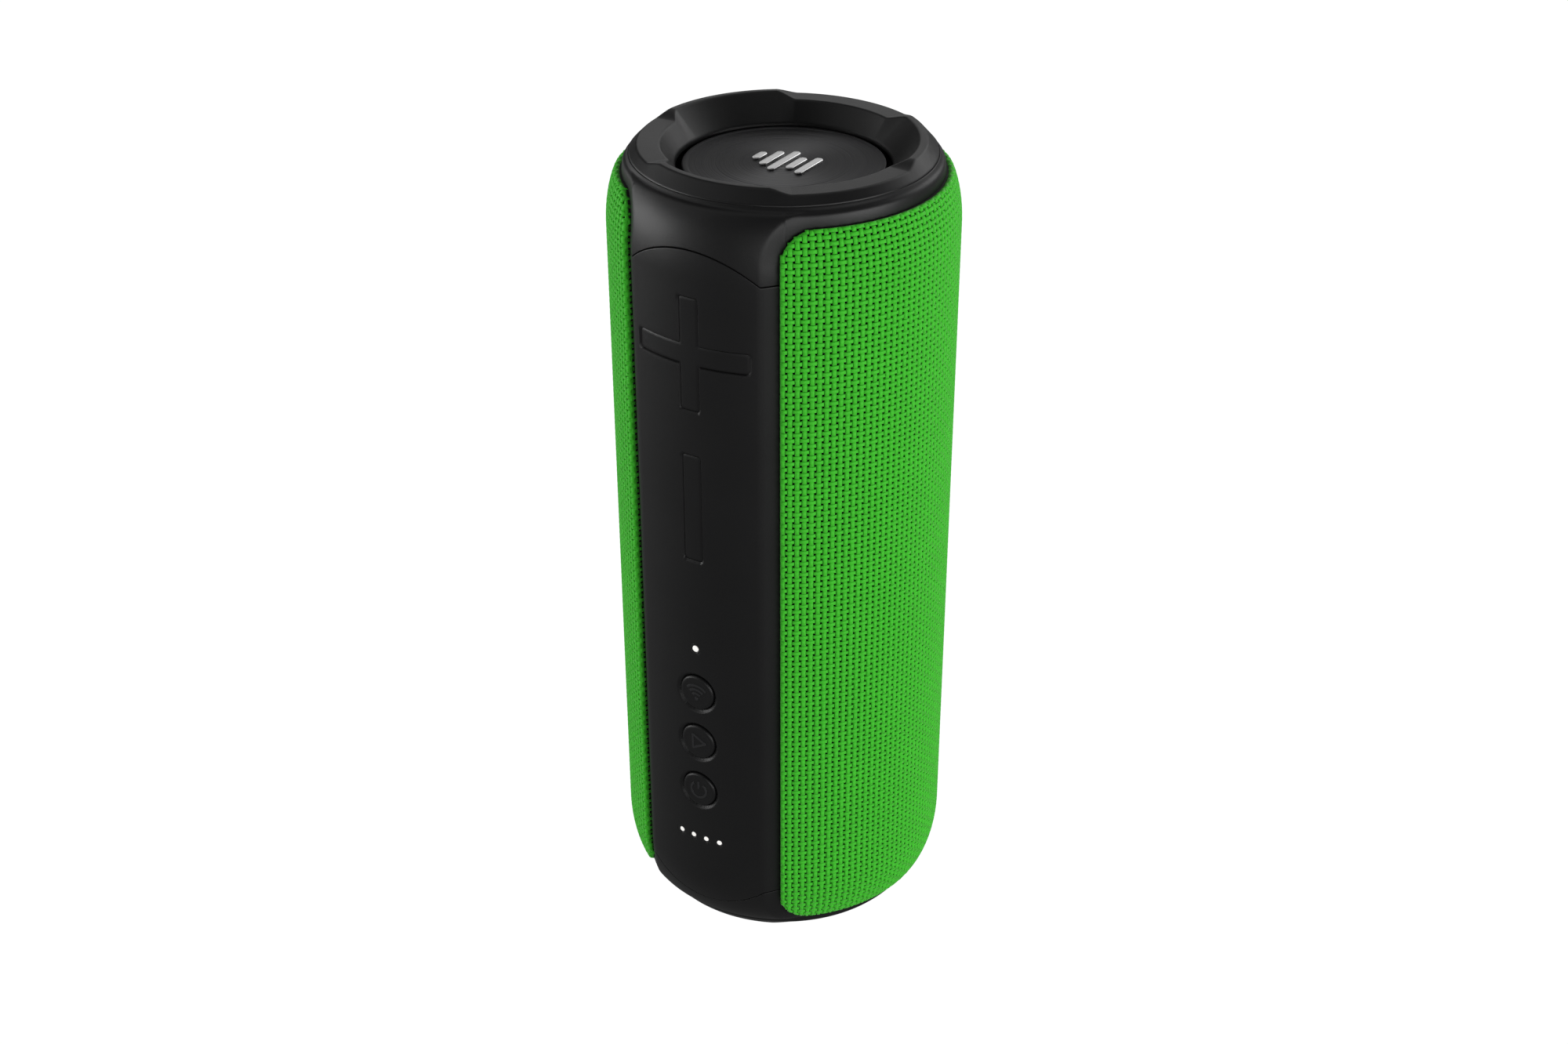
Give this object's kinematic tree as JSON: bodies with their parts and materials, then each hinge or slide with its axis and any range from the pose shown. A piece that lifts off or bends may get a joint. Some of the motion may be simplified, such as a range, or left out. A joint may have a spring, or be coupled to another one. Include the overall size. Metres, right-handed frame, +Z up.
{
  "type": "portable bluetooth speaker",
  "caption": "Upright cylindrical portable speaker: woven side covers, black control spine with keys and lights, rim rings and sprung bass radiators at both ends.",
  "frame": {"origin": "centre of the foot, on the plane that the speaker stands on", "axes": "+Z up along the body, -Y out of the control spine, fabric windows towards -X and +X"},
  "size_m": [0.078, 0.0781, 0.192],
  "materials": {
    "soft_black": "fine-grained matte, soft-touch",
    "key_black": "matte silicone",
    "green_weave": "coarse plain weave",
    "core_black": "matte",
    "disc_black": "finely turned rings, satin",
    "emblem_silver": "satin",
    "rubber_black": "matte",
    "light_clear": "milky clear",
    "grey_plastic": "moulded",
    "steel": "zinc plated",
    "magnet_grey": "sintered",
    "paper_cone": "coated paper",
    "spider_cloth": "resin-treated cotton",
    "cell_wrap": "shrink wrap",
    "board_green": "solder mask",
    "chip_black": "moulded",
    "gasket_foam": "closed-cell foam"
  },
  "bodies": {
    "housing": {"top_end_cap": "soft_black", "bottom_end_cap": "soft_black", "control_panel": "soft_black", "rear_panel": "soft_black", "left_fabric": "green_weave", "right_fabric": "green_weave", "left_grille_core": "core_black", "right_grille_core": "core_black", "top_rim_ring": "soft_black", "bottom_rim_ring": "soft_black", "pairing_light_pipe": "light_clear", "battery_light_pipes": "light_clear", "key_board": "board_green", "tact_switches": "steel", "indicator_lamps": "light_clear", "enclosure": "grey_plastic", "top_chassis": "grey_plastic", "bottom_chassis": "grey_plastic", "top_radiator_surround": "rubber_black", "bottom_radiator_surround": "rubber_black", "top_clamp_ring": "grey_plastic", "bottom_clamp_ring": "grey_plastic", "top_clamp_screws": "steel", "bottom_clamp_screws": "steel", "top_seal": "rubber_black", "bottom_seal": "rubber_black", "driver_screws": "steel", "battery_cells": "cell_wrap", "battery_tray": "grey_plastic", "main_board": "board_green", "board_parts": "chip_black", "port_board": "board_green", "usb_c_socket": "steel", "audio_socket": "chip_black", "card_socket": "steel", "port_tray": "grey_plastic", "left_driver_basket": "steel", "left_driver_magnet": "magnet_grey", "left_driver_yoke": "steel", "left_driver_surround": "rubber_black", "left_driver_spider": "spider_cloth", "left_driver_gasket": "gasket_foam", "right_driver_basket": "steel", "right_driver_magnet": "magnet_grey", "right_driver_yoke": "steel", "right_driver_surround": "rubber_black", "right_driver_spider": "spider_cloth", "right_driver_gasket": "gasket_foam"},
    "volume_up_key": {"volume_up_key": "key_black"},
    "volume_down_key": {"volume_down_key": "key_black"},
    "wireless_key": {"wireless_key": "key_black"},
    "play_key": {"play_key": "key_black"},
    "power_key": {"power_key": "key_black"},
    "top_radiator": {"top_radiator_disc": "disc_black", "top_emblem": "emblem_silver"},
    "bottom_radiator": {"bottom_radiator_disc": "disc_black"},
    "left_cone": {"left_driver_cone": "paper_cone"},
    "right_cone": {"right_driver_cone": "paper_cone"},
    "port_flap": {"port_cover": "rubber_black"}
  },
  "joints": [
    {"name": "volume_up_key_press", "type": "slide", "parent": "housing", "child": "volume_up_key", "axis": [0, 1, 0], "range_m": [0, 0.0005], "stiffness_N_per_m": 4000},
    {"name": "volume_down_key_press", "type": "slide", "parent": "housing", "child": "volume_down_key", "axis": [0, 1, 0], "range_m": [0, 0.0005], "stiffness_N_per_m": 4000},
    {"name": "wireless_key_press", "type": "slide", "parent": "housing", "child": "wireless_key", "axis": [0, 1, 0], "range_m": [0, 0.0005], "stiffness_N_per_m": 4000},
    {"name": "play_key_press", "type": "slide", "parent": "housing", "child": "play_key", "axis": [0, 1, 0], "range_m": [0, 0.0005], "stiffness_N_per_m": 4000},
    {"name": "power_key_press", "type": "slide", "parent": "housing", "child": "power_key", "axis": [0, 1, 0], "range_m": [0, 0.0005], "stiffness_N_per_m": 4000},
    {"name": "top_radiator_stroke", "type": "slide", "parent": "housing", "child": "top_radiator", "axis": [0, 0, 1], "range_m": [-0.002, 0.002], "stiffness_N_per_m": 1500, "deforming": ["top_radiator_surround"]},
    {"name": "bottom_radiator_stroke", "type": "slide", "parent": "housing", "child": "bottom_radiator", "axis": [0, 0, -1], "range_m": [-0.002, 0.002], "stiffness_N_per_m": 1500, "deforming": ["bottom_radiator_surround"]},
    {"name": "left_cone_stroke", "type": "slide", "parent": "housing", "child": "left_cone", "axis": [-1, 0, 0], "range_m": [-0.001, 0.001], "stiffness_N_per_m": 1200, "deforming": ["left_driver_surround", "left_driver_spider"]},
    {"name": "right_cone_stroke", "type": "slide", "parent": "housing", "child": "right_cone", "axis": [1, 0, 0], "range_m": [-0.001, 0.001], "stiffness_N_per_m": 1200, "deforming": ["right_driver_surround", "right_driver_spider"]},
    {"name": "port_cover_hinge", "type": "hinge", "parent": "housing", "child": "port_flap", "pos_m": [-0.0117, 0.03715, 0.043], "axis": [0, 0, 1], "range_deg": [0, 110]}
  ]
}
